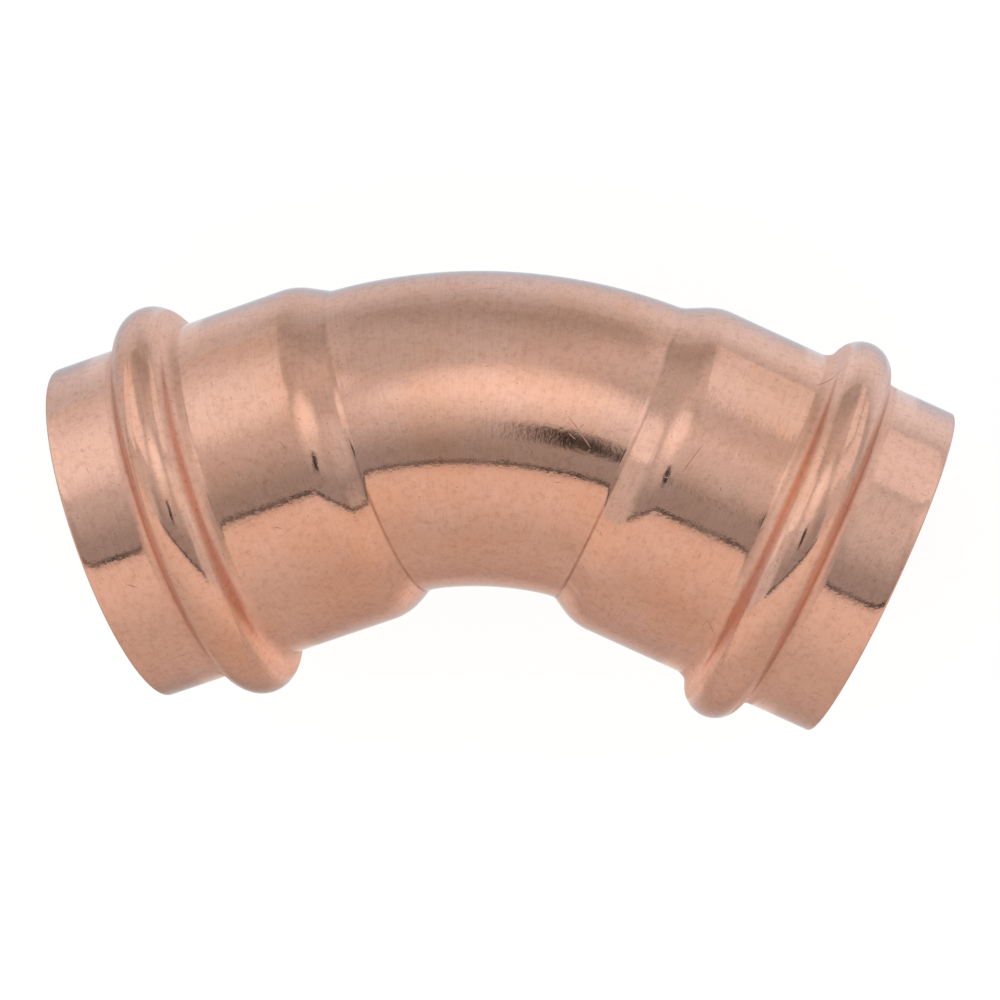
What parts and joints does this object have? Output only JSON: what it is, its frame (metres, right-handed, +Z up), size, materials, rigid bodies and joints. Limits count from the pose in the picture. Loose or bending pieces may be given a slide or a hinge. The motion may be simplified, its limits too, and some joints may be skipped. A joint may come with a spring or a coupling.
{
  "type": "pipe elbow",
  "caption": "Copper press elbow of 45 degrees with a beaded socket at each end and a rubber seal ring in each bead, for joining two copper tubes.",
  "frame": {"origin": "under the middle of the whole part, on the plane that the two beads touch", "axes": "the bend plane lies flat: +X along the chord from socket to socket, +Y to the outside of the bend, +Z up across the bend plane"},
  "size_m": [0.1156, 0.0571, 0.0523],
  "materials": {
    "copper": "bare copper, drawn and formed, satin with fine handling scratches",
    "seal_rubber": "moulded black EPDM, lightly lubricated"
  },
  "bodies": {
    "root": {"elbow_body": "copper", "seal_left": "seal_rubber", "seal_right": "seal_rubber"}
  },
  "joints": []
}
